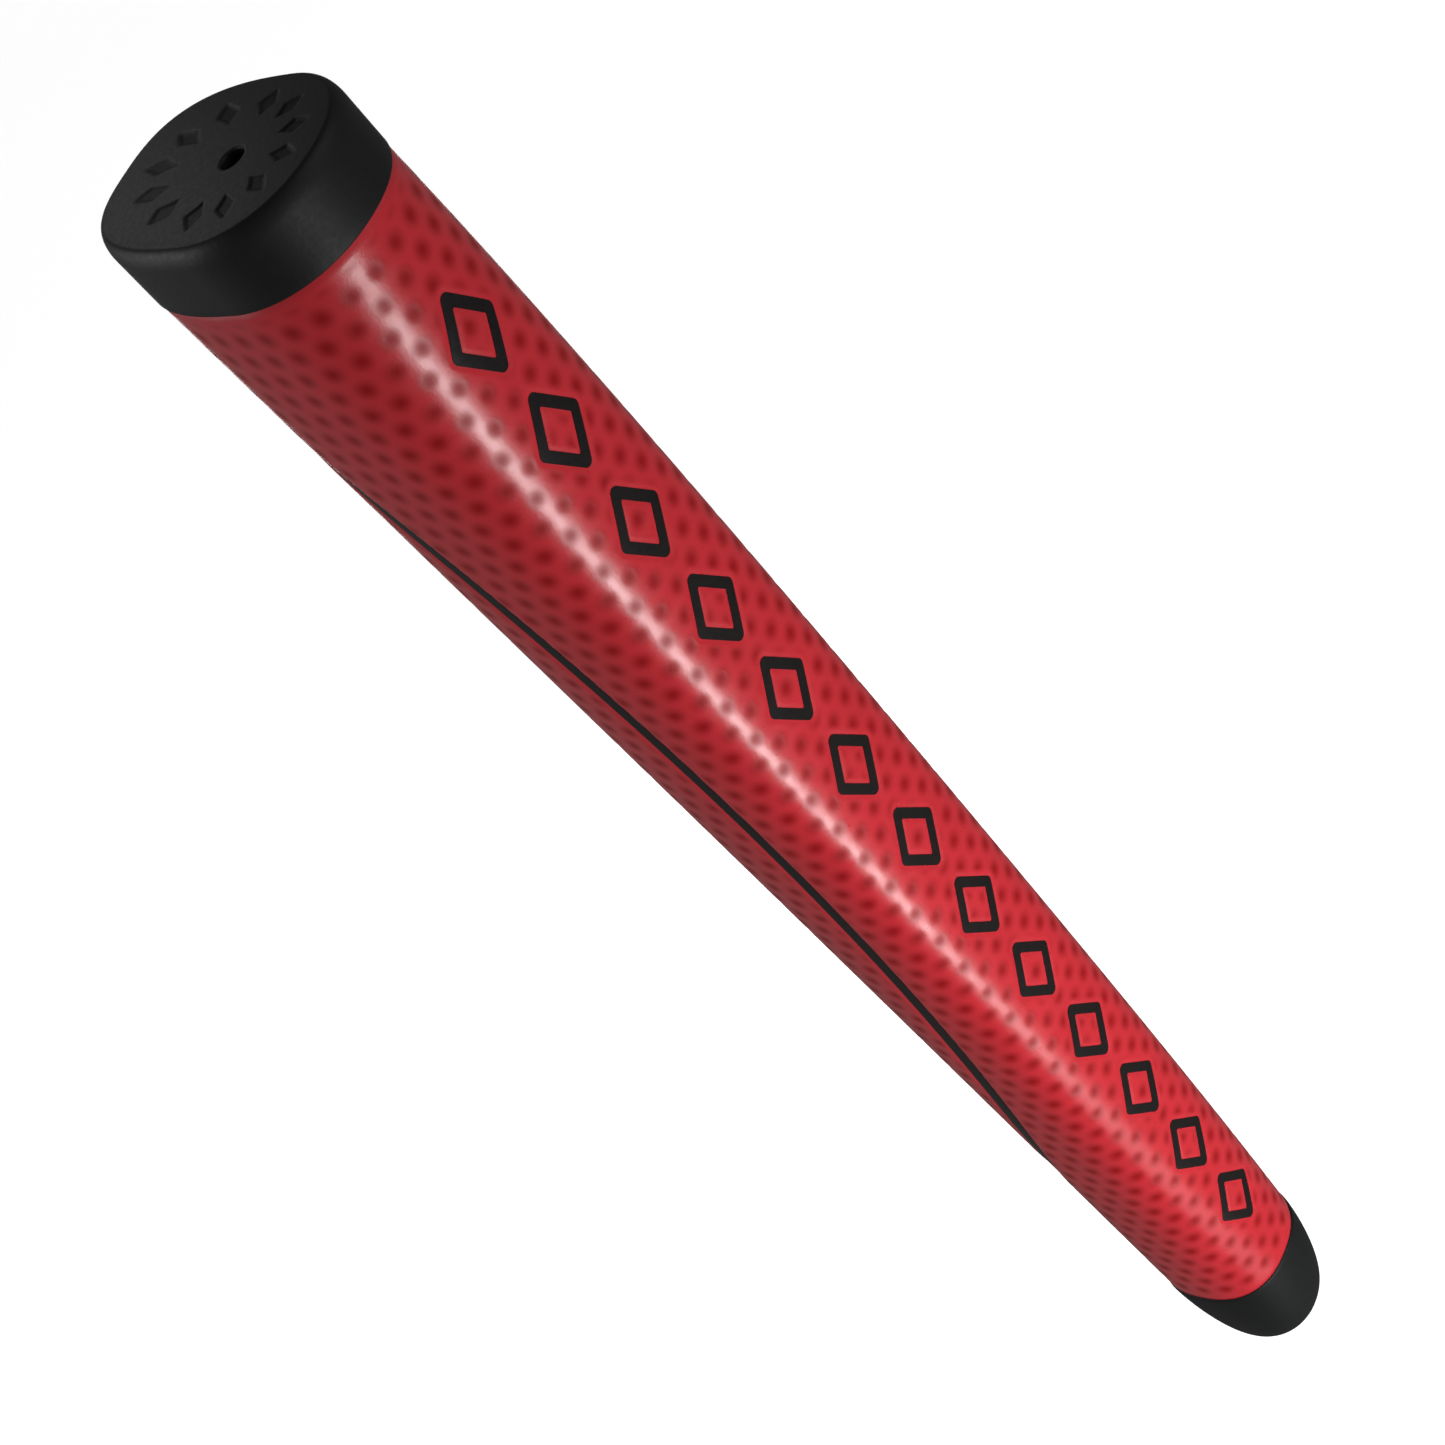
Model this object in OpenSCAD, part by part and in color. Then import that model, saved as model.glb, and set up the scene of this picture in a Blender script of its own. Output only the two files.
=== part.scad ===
// Putter grip with a flat front and a pistol-shaped back, made to slide over a golf club's shaft.
// Millimetres. +Z runs up the bore from the nose to the butt, +Y is the flat front.
// The origin is the centre of the bore's mouth, at the nose end.

/* [Overall] */
// Length on the bore's axis, nose to butt
overall_len = 273.3; // [255:0.1:300]
// Length of the rubber nose piece
nose_len = 21.1; // [18:0.1:26]
// Length of the butt cap's skirt
cap_len = 10.4; // [9:0.1:15]

/* [Width across the grip] */
// Full width where the skin meets the nose piece
nose_width = 21.6; // [20:0.1:23]
// Full width halfway up the skin
mid_width = 24.4; // [23:0.1:27]
// Full width where the skin meets the butt cap
butt_width = 26.6; // [25:0.1:30]

/* [Depth in front of the bore's axis] */
// Axis to the flat front at the nose end of the skin
nose_front = 11.7; // [9.4:0.1:12]
// Axis to the flat front halfway up
mid_front = 12.1; // [11:0.1:13]
// Axis to the flat front at the butt end of the skin
butt_front = 13.5; // [12.4:0.1:14.5]

/* [Depth behind the bore's axis] */
// Axis to the back at the nose end of the skin
nose_back = 9.4; // [9.3:0.1:12]
// Axis to the back halfway up
mid_back = 14.4; // [13:0.1:16]
// Axis to the back at the butt end of the skin
butt_back = 20.1; // [17:0.1:22]

/* [Section shape] */
// Squareness of the front half at the nose end: 2 is an ellipse, more is flatter
nose_front_power = 2.4; // [2.1:0.1:3]
// Squareness of the front half halfway up
mid_front_power = 3.8; // [2.8:0.1:4]
// Squareness of the front half at the butt end
butt_front_power = 2.1; // [2.1:0.1:3]
// Squareness of the back half at the nose end
nose_back_power = 2.5; // [2.1:0.1:3]
// Squareness of the back half halfway up
mid_back_power = 2.5; // [2.2:0.1:3.4]
// Squareness of the back half at the butt end
butt_back_power = 2.7; // [2.1:0.1:3]

/* [Layers] */
// Thickness of the textured outer skin
skin_t = 1.4; // [1:0.1:1.5]
// Thickness of the felt backing under the skin
felt_t = 0.7; // [0.5:0.1:0.8]
// Thickness of the paint in the decoration
paint_t = 0.15; // [0.1:0.05:0.3]

/* [Bore] */
// Radius of the bore's straight mouth
mouth_r = 5.8; // [5.5:0.05:5.9]
// Radius of the tapered bore at its top, for a 0.580 inch shaft butt
core_top_r = 7.37; // [7:0.01:7.6]
// Radius of the vent hole through the butt cap
vent_r = 1.6; // [1:0.1:2]

/* [Nose piece] */
// Outer radius at the nose tip
nose_tip_r = 7.05; // [6.6:0.05:7.5]
// How far the nose piece and the butt cap stand proud of the skin
lip = 0.15; // [0.1:0.05:0.5]
// Outer radius of the core's tail inside the nose piece
tail_r = 6.8; // [6.7:0.05:6.9]
// How far the core's tail reaches into the nose piece
tail_len = 8; // [5:0.5:9]

/* [Butt cap] */
// Height of the cap's rounded rim
rim_h = 2.6; // [1:0.1:3]
// How far the rounded rim comes in
rim_in = 1.1; // [0.6:0.1:2]
// Height of the middle of the cap's face above its rim
dome_h = 0.3; // [0.2:0.1:1]
// Radius of the plug under the cap
plug_r = 9.5; // [8.5:0.1:10]
// Length of the plug under the cap
plug_len = 6; // [4:0.5:10]

/* [Front decoration] */
// Number of lozenges in the row
lozenge_count = 13; // [7:1:13]
// Distance from one lozenge to the next
lozenge_pitch = 17; // [14:0.5:17]
// Length of a lozenge along the grip
lozenge_len = 14; // [10:0.5:14]
// Width of a lozenge across the grip
lozenge_w = 9.4; // [7:0.1:10]
// Width of a painted stroke
stroke = 1.5; // [1:0.1:2]

/* [Back panel line] */
// Height of the middle of the line that outlines the back panel
line_mid_z = 142.8; // [138:0.1:148]
// Half of the line's length along the grip
line_half_len = 110; // [90:1:112]
// Angle of the line's middle above the side, towards the front
line_mid_angle = 11.5; // [0:0.5:14]
// Width of the line
line_w = 1.9; // [0.8:0.1:2.2]

/* [Hidden] */
$fn = 64;
// Points round a section, and sections along a layer
around = 40;
stations = 18;
step_angle = 360 / around;
// Ends of the skin
skin_bottom = nose_len;
skin_top = overall_len - cap_len;
skin_len = skin_top - skin_bottom;
// Rows in the nose piece's curved side and in the cap's rounded rim
nose_rows = 10;
rim_rows = 5;
dome_rows = 3;
// Curve of the nose piece from its base to its tip
nose_bulge = 1.5;
nose_round = 1.8;
// Pieces that each side of a lozenge is bent into
side_steps = 4;
// Points round the back panel line, and how pointed its ends are
line_points = 96;
line_point_power = 1.41;
// How deep the paint sinks into the skin
paint_sink = 0.05;
// A cut runs this far past the face it opens
past = 1;

skin_color = [0.72, 0.07, 0.12];
rubber_color = [0.13, 0.14, 0.14];
felt_color = [0.85, 0.83, 0.78];
foam_color = [0.22, 0.22, 0.24];
paint_color = [0.05, 0.04, 0.04];

// Smooth value along the skin, from its value at the nose end, the middle and the butt end
function along(a, b, c, u) = a * (1 - u) * (1 - 2 * u) + b * 4 * u * (1 - u) + c * u * (2 * u - 1);
function half_width(u) = along(nose_width, mid_width, butt_width, u) / 2;
function front(u) = along(nose_front, mid_front, butt_front, u);
function back(u) = along(nose_back, mid_back, butt_back, u);
function front_power(u) = along(nose_front_power, mid_front_power, butt_front_power, u);
function back_power(u) = along(nose_back_power, mid_back_power, butt_back_power, u);
function height(u) = skin_bottom + u * skin_len;
function signed_power(v, p) = sign(v) * pow(abs(v), 2 / p);

// Point of the section at u, at angle a round it, moved outwards by grow
function section_point(u, a, grow) =
    let (p = sin(a) >= 0 ? front_power(u) : back_power(u))
    let (depth = (sin(a) >= 0 ? front(u) : back(u)) + grow)
    [(half_width(u) + grow) * signed_power(cos(a), p), depth * signed_power(sin(a), p)];

// The same section, reached by its true direction from the axis
function surface_point(z, direction, grow) =
    let (u = (z - skin_bottom) / skin_len)
    let (p = sin(direction) >= 0 ? front_power(u) : back_power(u))
    let (depth = (sin(direction) >= 0 ? front(u) : back(u)) + grow)
    let (across = pow(abs(cos(direction) / (half_width(u) + grow)), p))
    let (r = pow(across + pow(abs(sin(direction) / depth), p), -1 / p))
    [r * cos(direction), r * sin(direction), z];

// Point of the flat front at height z and x across it
function front_point(x, z, grow) =
    let (u = (z - skin_bottom) / skin_len)
    let (p = front_power(u))
    let (drop = pow(abs(x) / (half_width(u) + grow), p))
    [x, (front(u) + grow) * pow(1 - drop, 1 / p), z];

function ring(u, grow) =
    [for (j = [0 : around - 1]) let (p = section_point(u, j * step_angle, grow)) [p.x, p.y, height(u)]];
function layer(grow) = [for (i = [0 : stations]) each ring(i / stations, grow)];

// Faces between rows of n points; flip turns them inside out
function side_faces(rows, n, flip = false, first = 0) =
    [for (i = [0 : rows - 2], j = [0 : n - 1])
        let (a = first + i * n + j, b = first + i * n + (j + 1) % n)
        each flip ? [[a, b, b + n], [a, b + n, a + n]] : [[a, a + n, b + n], [a, b + n, b]]];

// Faces of a flat ring between two rows of n points that start at a and b
function rim_faces(a, b, n) =
    [for (j = [0 : n - 1])
        let (k = (j + 1) % n)
        each [[a + j, b + j, b + k], [a + j, b + k, a + k]]];

// Closed solid through rows of n points, from the lowest row to the highest
module solid_loft(points, rows, n) {
    bottom = [for (j = [0 : n - 1]) j];
    top = [for (j = [0 : n - 1]) rows * n - 1 - j];
    polyhedron(points, concat([bottom, top], side_faces(rows, n)), convexity = 6);
}

// Open-ended shell between an outer and an inner layer
module shell_loft(outer, inner, rows, n) {
    shift = rows * n;
    faces = concat(
        side_faces(rows, n),
        side_faces(rows, n, true, shift),
        rim_faces(shift, 0, n),
        rim_faces((rows - 1) * n, shift + (rows - 1) * n, n));
    polyhedron(concat(outer, inner), faces, convexity = 10);
}

// Closed band through four loops of n points each, joined in order
module loop_band(outer_low, outer_high, inner_high, inner_low, n) {
    points = concat(outer_low, outer_high, inner_high, inner_low);
    faces = [for (i = [0 : 3], j = [0 : n - 1])
        let (k = (j + 1) % n, m = (i + 1) % 4)
        each [[i * n + j, m * n + j, m * n + k], [i * n + j, m * n + k, i * n + k]]];
    polyhedron(points, faces, convexity = 6);
}

module outer_skin() {
    color(skin_color)
        shell_loft(layer(0), layer(-skin_t), stations + 1, around);
}

module felt_backing() {
    color(felt_color)
        shell_loft(layer(-skin_t), layer(-skin_t - felt_t), stations + 1, around);
}

// Tapered bore above the straight mouth
module tapered_bore() {
    bore_bottom = nose_len - tail_len;
    bore_top = skin_top - plug_len;
    translate([0, 0, bore_bottom])
        cylinder(h = bore_top - bore_bottom, r1 = mouth_r, r2 = core_top_r);
}

module foam_core() {
    color(foam_color)
        difference() {
            union() {
                solid_loft(layer(-skin_t - felt_t), stations + 1, around);
                translate([0, 0, nose_len - tail_len])
                    cylinder(h = tail_len, r = tail_r);
            }
            tapered_bore();
            translate([0, 0, skin_top - plug_len])
                cylinder(h = plug_len + past, r = plug_r);
        }
}

// Row of the nose piece at v, from the base (0) to the tip (1)
function nose_ring(v) =
    let (fade = 1 - pow(1 - pow(v, nose_bulge), 1 / nose_round))
    [for (j = [0 : around - 1])
        let (a = j * step_angle, p = section_point(0, a, lip))
        let (angle = atan2(p.y, p.x))
        [p.x * (1 - fade) + nose_tip_r * cos(angle) * fade,
         p.y * (1 - fade) + nose_tip_r * sin(angle) * fade,
         nose_len * (1 - v)]];

module nose_cap() {
    color(rubber_color)
        difference() {
            solid_loft([for (i = [0 : nose_rows]) each nose_ring(1 - i / nose_rows)], nose_rows + 1, around);
            translate([0, 0, -past])
                cylinder(h = nose_len + 2 * past, r = mouth_r);
            translate([0, 0, nose_len - tail_len])
                cylinder(h = tail_len + past, r = tail_r);
        }
}

// Row of the cap: the butt section moved in by inset and scaled by k, at height z
function cap_ring(inset, k, z) =
    [for (j = [0 : around - 1])
        let (p = section_point(1, j * step_angle, lip - inset) * k)
        [p.x, p.y, z]];

module butt_cap() {
    face_z = overall_len - dome_h;
    rows = concat(
        [cap_ring(0, 1, skin_top)],
        [for (i = [0 : rim_rows])
            let (a = 90 * i / rim_rows)
            cap_ring(rim_in * (1 - cos(a)), 1, face_z - rim_h * (1 - sin(a)))],
        [for (i = [1 : dome_rows])
            let (k = 1 - 0.9 * i / dome_rows)
            cap_ring(rim_in, k, face_z + dome_h * (1 - k * k))]);
    color(rubber_color)
        difference() {
            union() {
                solid_loft([for (row = rows) each row], len(rows), around);
                translate([0, 0, skin_top - plug_len])
                    cylinder(h = plug_len, r = plug_r);
            }
            translate([0, 0, skin_top - plug_len - past])
                cylinder(h = overall_len, r = vent_r);
        }
}

// Outline of a lozenge that is len long and w wide, with each side bent to the front
function lozenge_loop(z, length, w, grow) =
    let (corners = [[0, z - length / 2], [w / 2, z], [0, z + length / 2], [-w / 2, z]])
    [for (i = [0 : 3], s = [0 : side_steps - 1])
        let (a = corners[i], b = corners[(i + 1) % 4], t = s / side_steps)
        front_point(a.x + (b.x - a.x) * t, a.y + (b.y - a.y) * t, grow)];

module lozenge(z) {
    // A side's stroke has the same width all along, so the inner outline is a smaller lozenge
    side = norm([lozenge_len, lozenge_w]);
    inner_len = lozenge_len - 2 * stroke * side / lozenge_w;
    inner_w = lozenge_w - 2 * stroke * side / lozenge_len;
    loop_band(
        lozenge_loop(z, lozenge_len, lozenge_w, -paint_sink),
        lozenge_loop(z, lozenge_len, lozenge_w, paint_t),
        lozenge_loop(z, inner_len, inner_w, paint_t),
        lozenge_loop(z, inner_len, inner_w, -paint_sink),
        4 * side_steps);
}

module front_inlay() {
    middle = (skin_bottom + skin_top) / 2;
    color(paint_color)
        for (i = [0 : lozenge_count - 1])
            lozenge(middle + (i - (lozenge_count - 1) / 2) * lozenge_pitch);
}

// The back panel's outline: height and direction at t, from 0 to 360, starting at the right side
function line_path(t) =
    let (swing = (90 + line_mid_angle) * pow(abs(cos(t)), line_point_power))
    [line_mid_z + line_half_len * sin(t), -90 + (cos(t) >= 0 ? swing : -swing)];

// The outline moved sideways by offset millimetres and outwards by grow
function line_loop(offset, grow) =
    [for (i = [0 : line_points - 1])
        let (t = (i + 0.5) * 360 / line_points)
        let (here = line_path(t), next = line_path(t + 1), last = line_path(t - 1))
        let (p = surface_point(here[0], here[1], 0), r = norm([p.x, p.y]))
        let (dz = next[0] - last[0], ds = (next[1] - last[1]) * r * PI / 180, size = norm([dz, ds]))
        surface_point(here[0] - offset * ds / size, here[1] + offset * dz / size * 180 / PI / r, grow)];

module panel_line() {
    color(paint_color)
        loop_band(
            line_loop(line_w / 2, -paint_sink),
            line_loop(line_w / 2, paint_t),
            line_loop(-line_w / 2, paint_t),
            line_loop(-line_w / 2, -paint_sink),
            line_points);
}

butt_cap();
outer_skin();
felt_backing();
foam_core();
nose_cap();
front_inlay();
panel_line();
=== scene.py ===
"""Looks of a putter grip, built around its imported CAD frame.

Shapes are worked out in millimetres, in the frame's own axes: +Z runs up the bore from the nose to the
butt, +Y is the flat front. They become metres when a mesh is made. The studio is in metres.
"""

import math

import bpy
import numpy as np
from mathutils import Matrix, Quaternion, Vector


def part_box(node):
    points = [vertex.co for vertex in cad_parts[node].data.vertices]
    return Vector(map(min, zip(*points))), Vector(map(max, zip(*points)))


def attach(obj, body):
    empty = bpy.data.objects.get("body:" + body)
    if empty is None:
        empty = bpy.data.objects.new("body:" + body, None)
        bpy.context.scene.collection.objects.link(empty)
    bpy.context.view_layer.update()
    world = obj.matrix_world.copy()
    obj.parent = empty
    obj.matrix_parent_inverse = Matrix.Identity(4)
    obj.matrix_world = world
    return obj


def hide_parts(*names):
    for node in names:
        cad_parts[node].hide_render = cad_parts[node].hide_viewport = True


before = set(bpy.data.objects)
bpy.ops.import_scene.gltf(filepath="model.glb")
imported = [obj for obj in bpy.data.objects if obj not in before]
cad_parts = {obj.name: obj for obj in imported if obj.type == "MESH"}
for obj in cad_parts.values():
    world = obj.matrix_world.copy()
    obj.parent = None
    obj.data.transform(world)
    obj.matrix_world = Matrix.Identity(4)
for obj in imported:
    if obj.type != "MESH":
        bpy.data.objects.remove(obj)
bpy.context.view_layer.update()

MM = 0.001

# ---- Sizes shared with the CAD, in millimetres: values at the nose end, the middle and the butt end
WIDTH = (21.6, 24.4, 26.6)
FRONT = (11.7, 12.1, 13.5)
BACK = (9.4, 14.4, 20.1)
FRONT_POWER = (2.4, 3.8, 2.1)
BACK_POWER = (2.5, 2.5, 2.7)
SKIN_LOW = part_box("outer_skin")[0].z / MM
SKIN_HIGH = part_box("outer_skin")[1].z / MM
SKIN_T = 1.4
OVERALL_LEN = 273.3
LIP = 0.15

# ---- Nose piece and bore
MOUTH_R = 5.8
NOSE_TIP_R = 7.05
NOSE_BULGE = 1.5
NOSE_ROUND = 1.8
NOSE_EDGE_R = 0.35
NOSE_LIP_R = 0.35
TAIL_R = 6.8
TAIL_LEN = 8.0

# ---- Butt cap
CAP_EDGE_R = 0.4
RIM_H = 2.6
RIM_IN = 1.1
DOME_H = 0.3
VENT_R = 1.6
VENT_RIM_R = 0.35
VENT_WALL_TOP = 1.0
PLUG_R = 9.5
PLUG_LEN = 6.0
PLUG_CHAMFER = 0.3

# ---- Ring of sunken lozenges in the cap's face: their reach is a share of the way out to the cap's edge
# and their width a share of the pitch between them. Their walls rise from 0.75 to 1.15 of that size.
MARK_COUNT = 12
MARK_REACH = 0.62
MARK_HALF_REACH = 0.15
MARK_W = 0.55
MARK_WALL_START = 0.75
MARK_WALL_END = 1.15
MARK_DEPTH = 0.2

# ---- Front decoration and back panel line
LOZENGE_COUNT = 13
LOZENGE_PITCH = 17.0
LOZENGE_LEN = 14.0
LOZENGE_W = 9.4
LOZENGE_OUTER_R = 0.9
LOZENGE_INNER_R = 0.25
STROKE = 1.5
LINE_MID_Z = 142.8
LINE_HALF_LEN = 110.0
LINE_MID_ANGLE = 11.5
LINE_POINT_POWER = 1.41
LINE_W = 1.9
LINE_REACH = 4.5
PAINT_LIFT = 0.06
PAINT_T = 0.25

# ---- Relief of the skin: round dimples on a hexagonal grid, channels for the paint, back seam and ends
DIMPLE_PITCH = 3.974
DIMPLE_ROW_PITCH = DIMPLE_PITCH * math.sqrt(3)
DIMPLE_START_Z = 224.42
DIMPLE_FLOOR_R = 0.3
DIMPLE_RIM_R = 1.2
DIMPLE_DEPTH = 0.05
# Reach of the soft dark spot round each dimple: painted shade of the hollow, on a slightly deeper red of
# its own
SHADE_SPOT_R = 2.05
CHANNEL_DEPTH = 0.1
CHANNEL_WALL = 0.6
GROOVE_DEPTH = 0.2
GROOVE_WALL = 0.6
CALM_START = 0.15
CALM_END = 1.3
SEAM_DEPTH = 0.12
SEAM_W = 0.35
EDGE_DEPTH = 0.14
EDGE_W = 1.0

# ---- Fineness of the meshes
ROW_STEP = DIMPLE_ROW_PITCH / 20
FRONT_BAND = 6.4
FRONT_COLUMNS = 60
SIDE_COLUMNS = 98
INNER_ROWS = 24
TABLE_STEPS = 1440
STROKE_LOOPS = 6
LOZENGE_SIDE_POINTS = 26
LOZENGE_CORNER_POINTS = 7
LINE_COLUMNS = 720
LINE_SEARCH_COLUMNS = 480
LINE_LOOPS = 5
CAP_COLUMNS = 288
CAP_FACE_RINGS = 84
CAP_FACE_SPACING = 1.15
NOSE_COLUMNS = 192
NOSE_RINGS = 64
SHARP_DEGREES = 50


# ------------------------------------------------------------------------------------------- geometry
def along(values, u):
    """Smooth value along the skin from its values at the nose end, the middle and the butt end."""
    nose, middle, butt = values
    return nose * (1 - u) * (1 - 2 * u) + middle * 4 * u * (1 - u) + butt * u * (2 * u - 1)


def outline(u, direction, grow=0.0):
    """x and y of the grip's outline at u, in a direction from the axis, moved outwards by grow."""
    c, s = np.cos(direction), np.sin(direction)
    power = np.where(s >= 0, along(FRONT_POWER, u), along(BACK_POWER, u))
    depth = np.where(s >= 0, along(FRONT, u), along(BACK, u)) + grow
    width = along(WIDTH, u) / 2 + grow
    r = (np.abs(c / width) ** power + np.abs(s / depth) ** power) ** (-1 / power)
    return r * c, r * s


def part_of_skin(z):
    return (z - SKIN_LOW) / (SKIN_HIGH - SKIN_LOW)


def quarter(count):
    """Angles from nothing to a right angle, for a rounded edge."""
    return np.linspace(0, math.pi / 2, count)


def turn(count):
    """Directions once round the axis, from the middle of the back through -X, the front and +X."""
    return -math.pi / 2 - 2 * math.pi * np.arange(count) / count


def arc_table(z):
    """For each height, the directions round the grip and the arc from the front's centre line to each."""
    direction = -math.pi / 2 - 2 * math.pi * np.linspace(0, 1, TABLE_STEPS + 1)
    x, y = outline(part_of_skin(z)[:, None], direction[None, :])
    steps = np.hypot(np.diff(x, axis=1), np.diff(y, axis=1))
    arc = np.concatenate([np.zeros((len(z), 1)), np.cumsum(steps, axis=1)], axis=1)
    half = arc[:, -1] / 2
    return direction, arc - half[:, None], half


def directions_at(s, z):
    """Direction from the axis of each point of the skin, given its arc from the front's centre line."""
    direction, arc, half = arc_table(z)
    return np.array([np.interp(v, a, direction) for v, a in zip(s, arc)])


def skin_point(s, z, grow):
    """Points on the skin at arc s and height z, moved outwards by grow."""
    direction = directions_at(s, z)
    x, y = outline(part_of_skin(z), direction, grow)
    return np.stack([x, y, z], axis=-1)


def smooth(low, high, value):
    """0 below low, 1 above high and an even curve between."""
    t = np.clip((value - low) / (high - low), 0, 1)
    return t * t * (3 - 2 * t)


def segment_distance(px, py, ax, ay, bx, by):
    """Distance from points to the segments from a to b."""
    dx, dy = bx - ax, by - ay
    t = np.clip(((px - ax) * dx + (py - ay) * dy) / (dx * dx + dy * dy), 0, 1)
    return np.hypot(px - ax - t * dx, py - ay - t * dy)


# ------------------------------------------------------------------------------------ relief of the skin
def lozenge_size(inset):
    """Length and width of a lozenge whose sides are inset from the outer outline."""
    side = math.hypot(LOZENGE_LEN, LOZENGE_W)
    return LOZENGE_LEN - 2 * inset * side / LOZENGE_W, LOZENGE_W - 2 * inset * side / LOZENGE_LEN


def lozenge_heights():
    middle = (SKIN_LOW + SKIN_HIGH) / 2
    return [middle + (i - (LOZENGE_COUNT - 1) / 2) * LOZENGE_PITCH for i in range(LOZENGE_COUNT)]


def lozenge_distance(s, z):
    """Distance from points of the skin to the edge of the nearest painted stroke on the front."""
    first = lozenge_heights()[0]
    nearest = np.clip(np.round((z - first) / LOZENGE_PITCH), 0, LOZENGE_COUNT - 1)
    length, width = lozenge_size(STROKE / 2)
    up = np.abs(z - first - nearest * LOZENGE_PITCH)
    return segment_distance(np.abs(s), up, 0, length / 2, width / 2, 0) - STROKE / 2


def line_path(count):
    """Height and direction of the back panel's line, once round, from its middle on the +X side."""
    t = (np.arange(count) + 0.5) * 2 * math.pi / count
    swing = math.radians(90 + LINE_MID_ANGLE) * np.abs(np.cos(t)) ** LINE_POINT_POWER
    direction = -math.pi / 2 + np.where(np.cos(t) >= 0, swing, -swing)
    return LINE_MID_Z + LINE_HALF_LEN * np.sin(t), direction


def back_arc_path(count):
    """The back panel's line on the unrolled skin: arc from the middle of the back, +X side positive."""
    z, direction = line_path(count)
    table, arc, half = arc_table(z)
    wanted = np.where(direction >= -math.pi / 2, direction - 2 * math.pi, direction)
    from_front = np.array([np.interp(-w, -table, a) for w, a in zip(wanted, arc)])
    back = np.where(from_front > 0, half - from_front, -half - from_front)
    return back, z


def line_distance(back, z):
    """Distance from points of the skin to the edge of the back panel's line, exact only near the line."""
    path_b, path_z = back_arc_path(LINE_SEARCH_COLUMNS)
    next_b, next_z = np.roll(path_b, -1), np.roll(path_z, -1)
    best = np.full(z.shape, 2 * LINE_REACH)
    for a, b, c, d in zip(path_b, path_z, next_b, next_z):
        rows = np.abs(z[:, 0] - b) < LINE_REACH
        near = segment_distance(back[rows], z[rows], a, b, c, d)
        best[rows] = np.minimum(best[rows], near)
    return best - LINE_W / 2


def dimple_distance(s, z):
    """Distance from points of the unrolled skin to the middle of the nearest dimple."""
    nearest = np.full(s.shape, DIMPLE_PITCH)
    for shift in (0, 0.5):
        across = s / DIMPLE_PITCH - shift
        up = (z - DIMPLE_START_Z) / DIMPLE_ROW_PITCH - shift
        ds = (across - np.round(across)) * DIMPLE_PITCH
        dz = (up - np.round(up)) * DIMPLE_ROW_PITCH
        nearest = np.minimum(nearest, np.hypot(ds, dz))
    return nearest


def skin_relief(s, back, z):
    """Height of the relief above the skin's plain shape, and how much of a dimple each point is, in a soft
    spot wider than the hollow that carries the dimple's painted shade.
    """
    lozenge = lozenge_distance(s, z)
    line = line_distance(back, z)
    to_end = np.minimum(z - SKIN_LOW, SKIN_HIGH - z)
    calm = smooth(CALM_START, CALM_END, np.minimum(lozenge, line)) * smooth(EDGE_W, 2 * EDGE_W, to_end)
    reach = dimple_distance(s, z)
    # The spot darkens the colour in the material: painted shade of a deeper hollow, partly a deeper red of
    # the dimple itself
    dimple = (1 - smooth(0, SHADE_SPOT_R, reach)) * calm
    height = -DIMPLE_DEPTH * (1 - smooth(DIMPLE_FLOOR_R, DIMPLE_RIM_R, reach)) * calm
    height -= CHANNEL_DEPTH * (1 - smooth(0, CHANNEL_WALL, lozenge))
    height -= GROOVE_DEPTH * (1 - smooth(0, GROOVE_WALL, line))
    height -= SEAM_DEPTH * np.exp(-((back / SEAM_W) ** 2))
    height -= EDGE_DEPTH * (1 - smooth(0, EDGE_W, to_end)) ** 2
    return height, dimple


# --------------------------------------------------------------------------------------------- meshes
def ring_faces(rows, columns):
    """Quads between rings of points, closed round each ring and from the last ring to the first."""
    i, j = np.meshgrid(np.arange(rows), np.arange(columns), indexing="ij")
    up, over = (i + 1) % rows, (j + 1) % columns
    quads = np.stack([i * columns + j, up * columns + j, up * columns + over, i * columns + over], -1)
    return quads.reshape(-1, 4)


def signed_volume(points, quads):
    a, b, c, d = (points[quads[:, k]] for k in range(4))
    first = np.einsum("ij,ij->i", a, np.cross(b, c))
    second = np.einsum("ij,ij->i", a, np.cross(c, d))
    return (first.sum() + second.sum()) / 6


def solid_from_rings(name, solids, material):
    """One object from closed solids, each an array of rings of points in millimetres."""
    points, faces, start = [], [], 0
    for rings in solids:
        rows, columns = rings.shape[:2]
        flat = rings.reshape(-1, 3)
        quads = ring_faces(rows, columns)
        if signed_volume(flat, quads) < 0:
            quads = quads[:, ::-1]
        points.append(flat)
        faces.append(quads + start)
        start += len(flat)
    mesh = bpy.data.meshes.new(name)
    mesh.from_pydata(np.concatenate(points) * MM, [], np.concatenate(faces))
    mesh.shade_smooth()
    mesh.set_sharp_from_angle(angle=math.radians(SHARP_DEGREES))
    mesh.materials.append(material)
    piece = bpy.data.objects.new(name, mesh)
    bpy.context.scene.collection.objects.link(piece)
    return piece


def point_value(piece, name, values):
    """Stores one number for each point of a piece, for its material to read."""
    piece.data.attributes.new(name, "FLOAT", "POINT").data.foreach_set("value", values)


def stand_for(piece, node):
    """Puts a detailed piece in the place of a CAD node."""
    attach(piece, "root")
    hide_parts(node)


# ---------------------------------------------------------------------------------------- outer skin
def skin_columns(half):
    """Arcs of the skin's columns at a height: even and fine on the front band, even on each side."""
    left = np.linspace(-half, -FRONT_BAND, SIDE_COLUMNS, endpoint=False)
    middle = np.linspace(-FRONT_BAND, FRONT_BAND, FRONT_COLUMNS, endpoint=False)
    right = np.linspace(FRONT_BAND, half, SIDE_COLUMNS, endpoint=False)
    return np.concatenate([left, middle, right])


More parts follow.
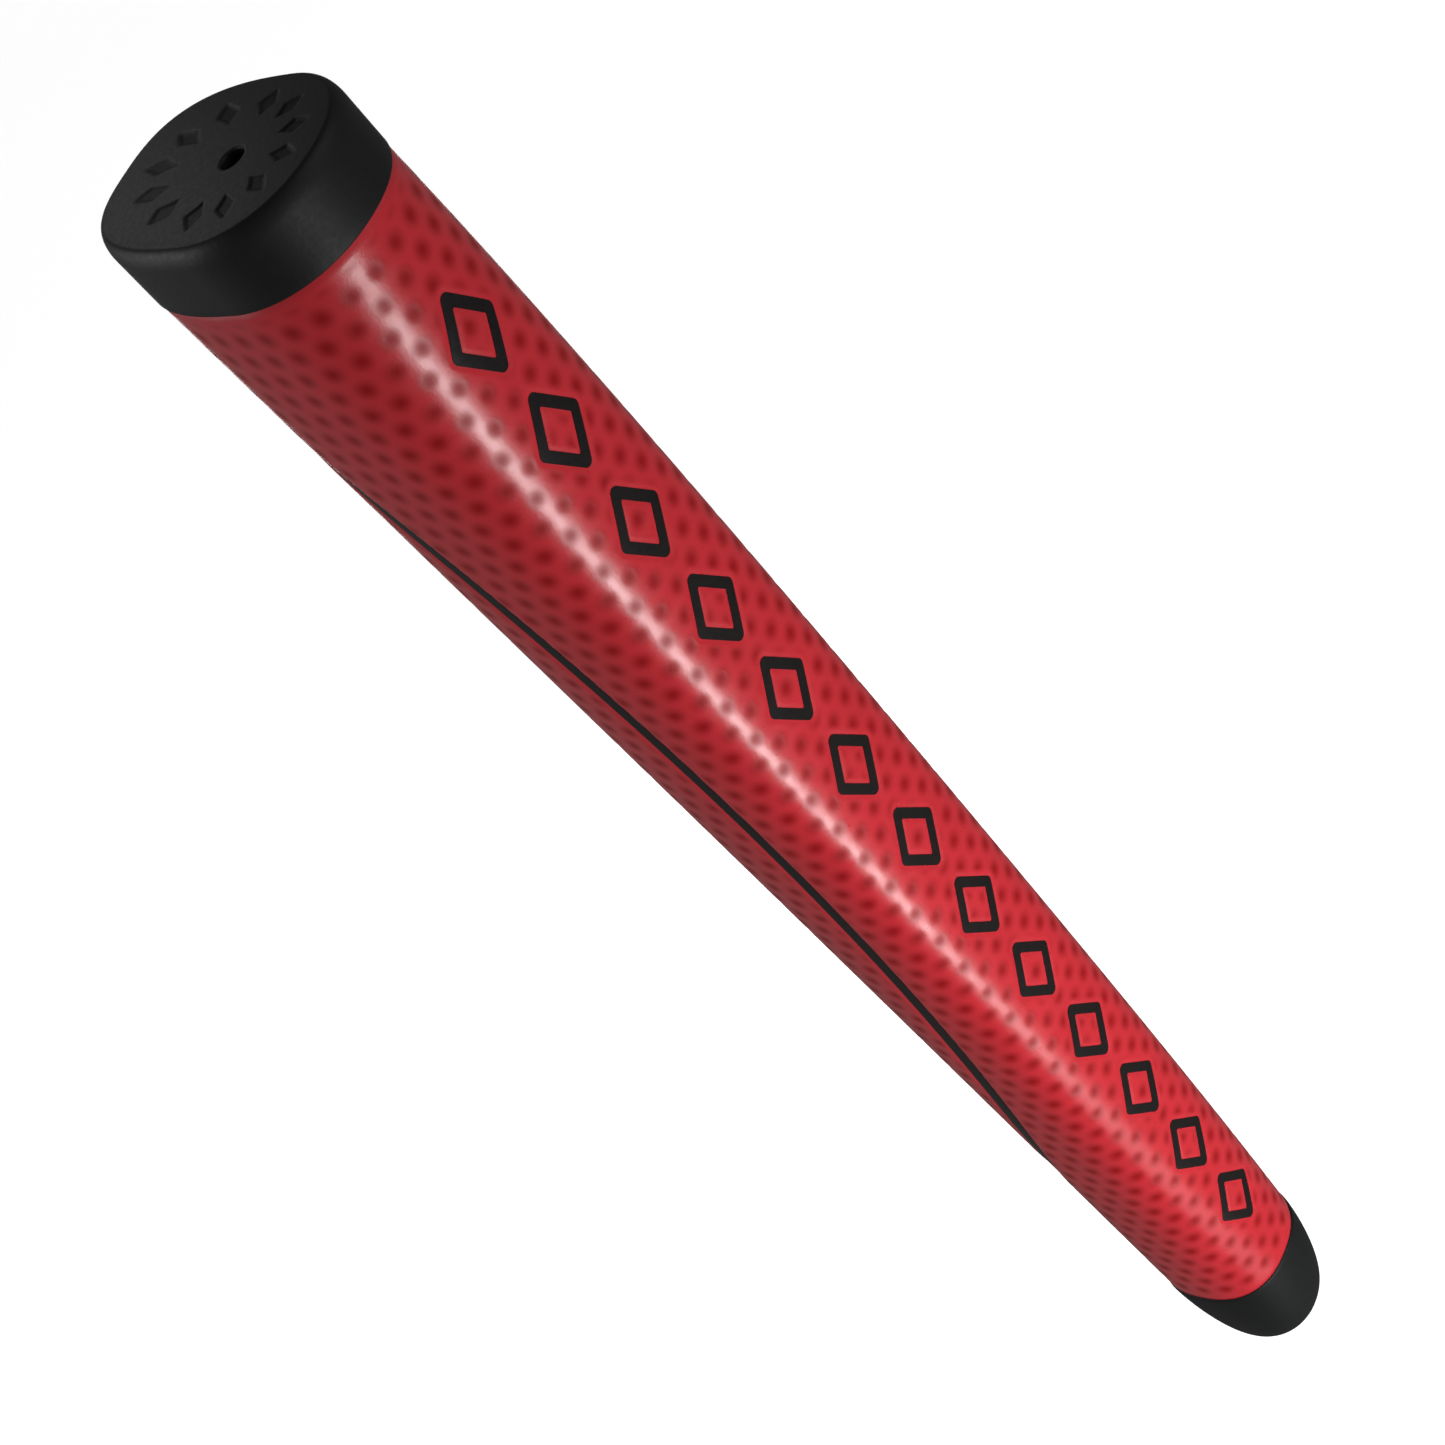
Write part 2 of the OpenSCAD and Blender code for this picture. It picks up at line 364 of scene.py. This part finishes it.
def skin_grid(z):
    """Arcs of the skin's points from the front's and the back's middle lines, and their directions."""
    direction, arc, half = arc_table(z)
    s = np.array([skin_columns(h) for h in half])
    angle = np.array([np.interp(v, a, direction) for v, a in zip(s, arc)])
    back = np.where(s > 0, half[:, None] - s, -half[:, None] - s)
    return s, back, angle


def plain_rings(z, angle, grow):
    """Rings of the plain skin, without relief, moved outwards by grow."""
    x, y = outline(part_of_skin(z)[:, None], angle, grow)
    return np.stack([x, y, np.broadcast_to(z[:, None], x.shape)], axis=-1)


def outward(rings):
    """Unit normals of open rings, from the differences of their neighbours."""
    across = np.roll(rings, -1, axis=1) - np.roll(rings, 1, axis=1)
    up = np.gradient(rings, axis=0)
    normal = np.cross(up, across)
    return normal / np.linalg.norm(normal, axis=-1, keepdims=True)


def make_skin(material):
    rows = int(round((SKIN_HIGH - SKIN_LOW) / ROW_STEP)) + 1
    z = np.linspace(SKIN_LOW, SKIN_HIGH, rows)
    s, back, angle = skin_grid(z)
    plain = plain_rings(z, angle, 0)
    height, dimple = skin_relief(s, back, np.broadcast_to(z[:, None], s.shape))
    outer = plain + outward(plain) * height[..., None]
    outer[0, :, 2] = SKIN_LOW
    outer[-1, :, 2] = SKIN_HIGH
    inner_z = np.linspace(SKIN_HIGH, SKIN_LOW, INNER_ROWS)
    inner = plain_rings(inner_z, skin_grid(inner_z)[2], -SKIN_T)
    skin = solid_from_rings("skin_shell", [np.concatenate([outer, inner])], material)
    point_value(skin, "dimple", np.concatenate([dimple.ravel(), np.zeros(inner.shape[0] * inner.shape[1])]))
    stand_for(skin, "outer_skin")


# --------------------------------------------------------------------------------------- painted parts
def rounded_lozenge(length, width, radius):
    """Outline of a lozenge with rounded corners: arcs across the grip, and heights."""
    half_angle = math.atan2(width, length)
    corners = [(0, length / 2, half_angle), (width / 2, 0, math.pi / 2 - half_angle),
               (0, -length / 2, half_angle), (-width / 2, 0, math.pi / 2 - half_angle)]
    arcs = []
    for k, (cx, cy, half) in enumerate(corners):
        # The arc's centre lies inwards of the corner, and the arc turns through the rest of a half turn
        size = math.hypot(cx, cy)
        back_off = radius / math.sin(half)
        ox, oy = cx - cx / size * back_off, cy - cy / size * back_off
        facing = math.pi / 2 - k * math.pi / 2
        sweep = math.pi / 2 - half
        angles = facing + sweep - 2 * sweep * np.linspace(0, 1, LOZENGE_CORNER_POINTS)
        arcs.append(np.stack([ox + radius * np.cos(angles), oy + radius * np.sin(angles)], axis=-1))
    loop = []
    for k, arc in enumerate(arcs):
        following = arcs[(k + 1) % 4][0]
        share = np.linspace(0, 1, LOZENGE_SIDE_POINTS + 2)[1:-1, None]
        loop.append(arc)
        loop.append(arc[-1] * (1 - share) + following * share)
    return np.concatenate(loop)


def lozenge_rings(z):
    """Closed band of paint on the floor of one lozenge's channel."""
    insets = np.linspace(0, STROKE, STROKE_LOOPS)
    radii = np.linspace(LOZENGE_OUTER_R, LOZENGE_INNER_R, STROKE_LOOPS)
    loops = [rounded_lozenge(*lozenge_size(i), r) for i, r in zip(insets, radii)]
    top = -CHANNEL_DEPTH + PAINT_LIFT
    rings = []
    for loop in loops:
        rings.append(skin_point(loop[:, 0], z + loop[:, 1], top))
    for loop in loops[::-1]:
        rings.append(skin_point(loop[:, 0], z + loop[:, 1], top - PAINT_T))
    return np.array(rings)


def make_front_inlay(material):
    inlay = solid_from_rings("front_lozenges", [lozenge_rings(z) for z in lozenge_heights()], material)
    stand_for(inlay, "front_inlay")


def make_panel_line(material):
    """Painted ribbon in the groove round the back panel."""
    z, direction = line_path(LINE_COLUMNS)
    x, y = outline(part_of_skin(z), direction)
    r = np.hypot(x, y)
    dz = np.roll(z, -1) - np.roll(z, 1)
    turned = np.roll(direction, -1) - np.roll(direction, 1)
    turned = (turned + math.pi) % (2 * math.pi) - math.pi
    ds = turned * r
    size = np.hypot(dz, ds)
    rings = []
    top = -GROOVE_DEPTH + PAINT_LIFT
    offsets = np.linspace(-LINE_W / 2, LINE_W / 2, LINE_LOOPS)
    for offset, grow in [(o, top) for o in offsets] + [(o, top - PAINT_T) for o in offsets[::-1]]:
        height = z - offset * ds / size
        px, py = outline(part_of_skin(height), direction + offset * dz / size / r, grow)
        rings.append(np.stack([px, py, height], axis=-1))
    line = solid_from_rings("panel_line_paint", [np.array(rings)], material)
    stand_for(line, "panel_line")


# ------------------------------------------------------------------------------------------ end pieces
def circle_ring(r, z, directions):
    return np.stack([r * np.cos(directions), r * np.sin(directions), np.full(len(directions), z)], axis=-1)


def outline_ring(u, grow, z, directions):
    x, y = outline(u, directions, grow)
    return np.stack([x, y, np.full(len(directions), z)], axis=-1)


def mark_share(x, y):
    """1 inside the ornament in the cap's face, a ring of small lozenges round the vent hole."""
    width = along(WIDTH, 1.0) / 2
    depth = np.where(y >= 0, FRONT[2], BACK[2])
    reach = np.hypot(x / width, y / depth)
    angle = np.arctan2(y / depth, x / width)
    across = np.abs((angle * MARK_COUNT / (2 * math.pi) + 0.5) % 1 - 0.5) * 2
    spread = across / MARK_W + np.abs(reach - MARK_REACH) / MARK_HALF_REACH
    return 1 - smooth(MARK_WALL_START, MARK_WALL_END, spread)


def make_butt_cap(material):
    """Skirt, rounded rim, domed face with its marks, vent hole and plug, as rings from the skin's end."""
    around = turn(CAP_COLUMNS)
    face_z = OVERALL_LEN - DOME_H
    rim_low = face_z - RIM_H
    rings, marks = [], {}
    for a in quarter(5):
        grow = LIP - CAP_EDGE_R * (1 - math.sin(a))
        rings.append(outline_ring(1.0, grow, SKIN_HIGH + CAP_EDGE_R * (1 - math.cos(a)), around))
    for z in np.linspace(SKIN_HIGH + CAP_EDGE_R, rim_low, 8)[1:]:
        rings.append(outline_ring(1.0, LIP, z, around))
    for a in quarter(16)[1:]:
        grow = LIP - RIM_IN * (1 - math.cos(a))
        rings.append(outline_ring(1.0, grow, rim_low + RIM_H * math.sin(a), around))
    section = outline_ring(1.0, LIP - RIM_IN, 0, around)
    hole = circle_ring(VENT_R + VENT_RIM_R, 0, around)
    for k in np.linspace(1, 0, CAP_FACE_RINGS)[1:]:
        blend = k ** CAP_FACE_SPACING
        ring = section * blend + hole * (1 - blend)
        mark = mark_share(ring[:, 0], ring[:, 1])
        ring[:, 2] = face_z + DOME_H * (1 - blend * blend) - MARK_DEPTH * mark
        marks[len(rings)] = mark
        rings.append(ring)
    for a in quarter(5)[1:]:
        r = VENT_R + VENT_RIM_R * (1 - math.sin(a))
        rings.append(circle_ring(r, OVERALL_LEN - VENT_RIM_R * (1 - math.cos(a)), around))
    plug_low = SKIN_HIGH - PLUG_LEN
    for z in np.linspace(OVERALL_LEN - VENT_WALL_TOP, plug_low, 6):
        rings.append(circle_ring(VENT_R, z, around))
    rings.append(circle_ring(PLUG_R - PLUG_CHAMFER, plug_low, around))
    rings.append(circle_ring(PLUG_R, plug_low + PLUG_CHAMFER, around))
    rings.append(circle_ring(PLUG_R, SKIN_HIGH, around))
    cap = solid_from_rings("butt_cap_moulding", [np.array(rings)], material)
    shares = [marks.get(i, np.zeros(len(around))) for i in range(len(rings))]
    point_value(cap, "mark", np.concatenate(shares))
    stand_for(cap, "butt_cap")


def make_nose_cap(material):
    """Bulging nose with a rolled lip at the bore's mouth, and its tail, as rings from the skin's end."""
    around = turn(NOSE_COLUMNS)
    rings = []
    for a in quarter(5)[:-1]:
        grow = LIP - NOSE_EDGE_R * (1 - math.sin(a))
        rings.append(outline_ring(0.0, grow, SKIN_LOW - NOSE_EDGE_R * (1 - math.cos(a)), around))
    section = outline_ring(0.0, LIP, 0, around)
    circle = circle_ring(NOSE_TIP_R, 0, around)
    for v in np.linspace(0, 1, NOSE_RINGS):
        fade = 1 - (1 - v ** NOSE_BULGE) ** (1 / NOSE_ROUND)
        ring = section * (1 - fade) + circle * fade
        ring[:, 2] = (SKIN_LOW - NOSE_EDGE_R) * (1 - v) + NOSE_LIP_R * v
        rings.append(ring)
    for a in quarter(6)[1:]:
        r = NOSE_TIP_R - NOSE_LIP_R * (1 - math.cos(a))
        rings.append(circle_ring(r, NOSE_LIP_R * (1 - math.sin(a)), around))
    for a in quarter(6):
        r = MOUTH_R + NOSE_LIP_R * (1 - math.sin(a))
        rings.append(circle_ring(r, NOSE_LIP_R * (1 - math.cos(a)), around))
    for z in np.linspace(NOSE_LIP_R, SKIN_LOW - TAIL_LEN, 8)[1:]:
        rings.append(circle_ring(MOUTH_R, z, around))
    rings.append(circle_ring(TAIL_R, SKIN_LOW - TAIL_LEN, around))
    rings.append(circle_ring(TAIL_R, SKIN_LOW, around))
    nose = solid_from_rings("nose_moulding", [np.array(rings)], material)
    stand_for(nose, "nose_cap")


# ------------------------------------------------------------------------------------------ materials
# Colours are linear. A pair is the two ends that a texture drifts between.
SKIN_RED = (0.43, 0.010, 0.017, 1), (0.53, 0.016, 0.027, 1)
# Inside the dimples: painted shade of the hollows, partly a deeper red of their own
DIMPLE_SHADE_RED = (0.26, 0.001, 0.003, 1)
CAP_BLACK = (0.0022, 0.0023, 0.0026, 1), (0.0050, 0.0052, 0.0056, 1)
NOSE_BLACK = (0.0030, 0.0034, 0.0036, 1), (0.0058, 0.0064, 0.0066, 1)
MARK_BLACK = (0.0025, 0.0025, 0.0025, 1)
PAINT_BLACK = (0.002, 0.0012, 0.0012, 1), (0.007, 0.004, 0.004, 1)
FOAM_GREY = (0.055, 0.055, 0.06, 1), (0.018, 0.018, 0.02, 1)
FELT_CREAM = (0.5, 0.48, 0.42, 1), (0.8, 0.78, 0.72, 1)
FLOOR_WHITE = (0.86, 0.86, 0.86, 1), (0.88, 0.88, 0.88, 1)

# Colour sockets of the Mix node, which has one set for each kind of value
COLOUR_A, COLOUR_B, COLOUR_OUT = 6, 7, 2


class Look:
    """A material in the making: its shader and the nodes that feed it. Texture scales are per metre."""

    def __init__(self, name):
        self.material = bpy.data.materials.new(name)
        self.material.use_nodes = True
        self.tree = self.material.node_tree
        self.shader = self.tree.nodes["Principled BSDF"]
        self.point = self.add("ShaderNodeTexCoord").outputs["Object"]

    def feed(self, node, socket, value):
        """Links a node's output to a socket, or sets the socket to a plain value."""
        if isinstance(value, bpy.types.NodeSocket):
            self.tree.links.new(value, node.inputs[socket])
        else:
            node.inputs[socket].default_value = value

    def add(self, kind, inputs=None, **settings):
        node = self.tree.nodes.new(kind)
        for key, value in settings.items():
            setattr(node, key, value)
        for socket, value in (inputs or {}).items():
            self.feed(node, socket, value)
        return node

    def stored(self, name):
        """The number that point_value stored under this name."""
        return self.add("ShaderNodeAttribute", attribute_name=name).outputs["Fac"]

    def noise(self, scale, detail, distortion=0.0):
        inputs = {"Vector": self.point, "Scale": scale, "Detail": detail, "Distortion": distortion}
        return self.add("ShaderNodeTexNoise", inputs).outputs["Fac"]

    def cells(self, scale):
        return self.add("ShaderNodeTexVoronoi", {"Vector": self.point, "Scale": scale}).outputs["Distance"]

    def mix(self, factor, first, second):
        inputs = {"Factor": factor, COLOUR_A: first, COLOUR_B: second}
        return self.add("ShaderNodeMix", inputs, data_type="RGBA").outputs[COLOUR_OUT]

    def span(self, value, low, high, start=0.0):
        """A value from start to 1 spread from low to high."""
        inputs = {"Value": value, "From Min": start, "To Min": low, "To Max": high}
        return self.add("ShaderNodeMapRange", inputs).outputs["Result"]

    def wear(self, colour, rough, shine=None):
        """Feeds the shader its colour, its roughness and, where given, its specular level."""
        self.feed(self.shader, "Base Color", colour)
        self.feed(self.shader, "Roughness", rough)
        if shine is not None:
            self.feed(self.shader, "Specular IOR Level", shine)

    def bump(self, height, strength, depth):
        """Fine grain as a bump, its depth in metres."""
        bump = self.add("ShaderNodeBump", {"Height": height, "Strength": strength, "Distance": depth})
        self.feed(self.shader, "Normal", bump.outputs["Normal"])


def skin_material():
    """Semi-gloss red polyurethane, duller inside the dimples, and darker there by painted shade of the
    hollows, partly a deeper red of their own.
    """
    look = Look("red_skin")
    dimple = look.stored("dimple")
    net = look.mix(look.noise(scale=90.0, detail=3.0), *SKIN_RED)
    rubbed = look.span(look.noise(scale=450.0, detail=3.0), 0.22, 0.4)
    rough = look.span(dimple, rubbed, 0.42, start=0.1)
    shine = look.span(dimple, 0.66, 0.24, start=0.1)
    # Painted shade: the skin takes the darker dimple red across each dimple's spot
    look.wear(look.mix(dimple, net, DIMPLE_SHADE_RED), rough, shine)
    look.bump(look.noise(scale=2600.0, detail=3.0), strength=0.12, depth=0.0001)
    return look.material


def rubber_material(name, black, gloss):
    """Matt moulded rubber with a fine spark-eroded grain, darker and duller in the cap's marks."""
    look = Look(name)
    mark = look.stored("mark")
    plain = look.mix(look.noise(scale=140.0, detail=5.0), *black)
    grain = look.noise(scale=1600.0, detail=4.0)
    look.wear(look.mix(mark, plain, MARK_BLACK), look.span(grain, 0.48, 0.64), look.span(mark, gloss, 0.12))
    look.bump(grain, strength=0.25, depth=0.0001)
    return look.material


def paint_material():
    look = Look("black_paint")
    grain = look.noise(scale=1800.0, detail=3.0)
    look.wear(look.mix(grain, *PAINT_BLACK), look.span(grain, 0.34, 0.5), 0.25)
    look.bump(grain, strength=0.15, depth=0.0001)
    return look.material


def foam_material():
    look = Look("core_foam")
    cells = look.cells(scale=900.0)
    look.wear(look.mix(cells, *FOAM_GREY), look.span(cells, 0.95, 0.75))
    look.bump(cells, strength=0.6, depth=0.0004)
    return look.material


def felt_material():
    look = Look("backing_felt")
    fibre = look.noise(scale=1500.0, detail=6.0, distortion=2.0)
    look.wear(look.mix(fibre, *FELT_CREAM), look.span(fibre, 0.85, 1.0))
    look.bump(fibre, strength=0.5, depth=0.0003)
    return look.material


def dress_node(node, material):
    """Gives a CAD node that stays its own material."""
    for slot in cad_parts[node].material_slots:
        slot.material = material


# --------------------------------------------------------------------------------------------- studio
# Distances are in metres here, angles in degrees and lamps in watts
FLOOR_Z = -0.35
FLOOR_HALF = 6.0
VIEW_AZIMUTH = 59.80
VIEW_ELEVATION = 38.94
VIEW_ROLL = -42.86
VIEW_DISTANCE = 0.37345
VIEW_AIM = Vector((0.00225, -0.00131, 0.17045))
VIEW_LENS = 71.95
VIEW_SENSOR = 36
VIEW_NEAR = 0.01
ROOM_LIGHT = 0.165
BACKDROP_LIGHT = 1.0


def towards(azimuth, elevation):
    """Unit vector at an azimuth from +X and an elevation, in degrees."""
    a, e = math.radians(azimuth), math.radians(elevation)
    return Vector((math.cos(e) * math.cos(a), math.cos(e) * math.sin(a), math.sin(e)))


def place_camera():
    data = bpy.data.cameras.new("camera")
    data.lens = VIEW_LENS
    data.sensor_width = VIEW_SENSOR
    data.clip_start = VIEW_NEAR
    camera = bpy.data.objects.new("camera", data)
    back = towards(VIEW_AZIMUTH, VIEW_ELEVATION)
    camera.location = VIEW_AIM + back * VIEW_DISTANCE
    camera.rotation_mode = "QUATERNION"
    roll = Quaternion((0, 0, 1), math.radians(VIEW_ROLL))
    camera.rotation_quaternion = back.to_track_quat("Z", "Y") @ roll
    bpy.context.scene.collection.objects.link(camera)
    bpy.context.scene.camera = camera


def make_floor():
    """Pale floor that the camera sees, but that neither lights the grip nor mirrors in it."""
    look = Look("pale_floor")
    look.wear(look.mix(look.noise(scale=3.0, detail=2.0), *FLOOR_WHITE), 0.9)
    mesh = bpy.data.meshes.new("floor")
    corners = [(x * FLOOR_HALF, y * FLOOR_HALF, FLOOR_Z) for x, y in ((-1, -1), (1, -1), (1, 1), (-1, 1))]
    mesh.from_pydata(corners, [], [(0, 1, 2, 3)])
    mesh.materials.append(look.material)
    floor = bpy.data.objects.new("floor", mesh)
    bpy.context.scene.collection.objects.link(floor)
    floor.visible_glossy = False
    floor.visible_diffuse = False


def make_world():
    """White where the camera looks past everything, and a dim even room for the light itself."""
    world = bpy.data.worlds.new("room")
    world.use_nodes = True
    tree = world.node_tree
    background = tree.nodes["Background"]
    background.inputs["Color"].default_value = (1, 1, 1, 1)
    path = tree.nodes.new("ShaderNodeLightPath")
    strength = tree.nodes.new("ShaderNodeMapRange")
    strength.inputs["To Min"].default_value = ROOM_LIGHT
    strength.inputs["To Max"].default_value = BACKDROP_LIGHT
    tree.links.new(path.outputs["Is Camera Ray"], strength.inputs["Value"])
    tree.links.new(strength.outputs["Result"], background.inputs["Strength"])
    bpy.context.scene.world = world


def soft_light(name, location, target, width, height, watts):
    """A rectangular lamp that the camera doesn't see."""
    data = bpy.data.lights.new(name, "AREA")
    data.shape = "RECTANGLE"
    data.size = width
    data.size_y = height
    data.energy = watts
    light = bpy.data.objects.new(name, data)
    light.location = location
    light.rotation_mode = "QUATERNION"
    light.rotation_quaternion = (Vector(target) - Vector(location)).to_track_quat("-Z", "Y")
    light.visible_camera = False
    bpy.context.scene.collection.objects.link(light)


def light_studio():
    """A strip for the long highlight, fills for the flanks and ends, and a lamp that whitens the floor."""
    middle, upper = Vector((0, 0, 0.14)), Vector((0, 0, 0.22))
    soft_light("shoulder_strip", (0.0485, 0.1935, 0.05), (0, 0, 0.05), 0.056, 0.26, 0.6)
    soft_light("nose_glow", towards(72.5, 0) * 0.22 + Vector((0, 0, -0.18)), (0, 0, -0.1), 0.16, 0.2, 0.1)
    soft_light("cap_sheen", (-0.024, -0.085, 0.325), (0.008, -0.014, 0.273), 0.03, 0.03, 0.008)
    soft_light("back_fill", towards(-50, 15) * 0.8 + middle, middle, 0.4, 0.4, 2.3)
    soft_light("front_fill", towards(120, 25) * 0.35 + upper, upper, 0.2, 0.2, 0.2)
    soft_light("rear_fill", towards(240, -14) * 0.8 + middle, middle, 0.4, 0.4, 1.8)
    soft_light("floor_wash", (0, 0, -0.08), (0, 0, -1), 13, 13, 507)


bpy.context.scene.view_settings.view_transform = "Standard"
place_camera()
make_floor()
make_world()
light_studio()

paint = paint_material()
make_skin(skin_material())
make_front_inlay(paint)
make_panel_line(paint)
make_butt_cap(rubber_material("cap_rubber_black", CAP_BLACK, gloss=0.25))
make_nose_cap(rubber_material("nose_rubber_black", NOSE_BLACK, gloss=0.22))
dress_node("foam_core", foam_material())
dress_node("felt_backing", felt_material())
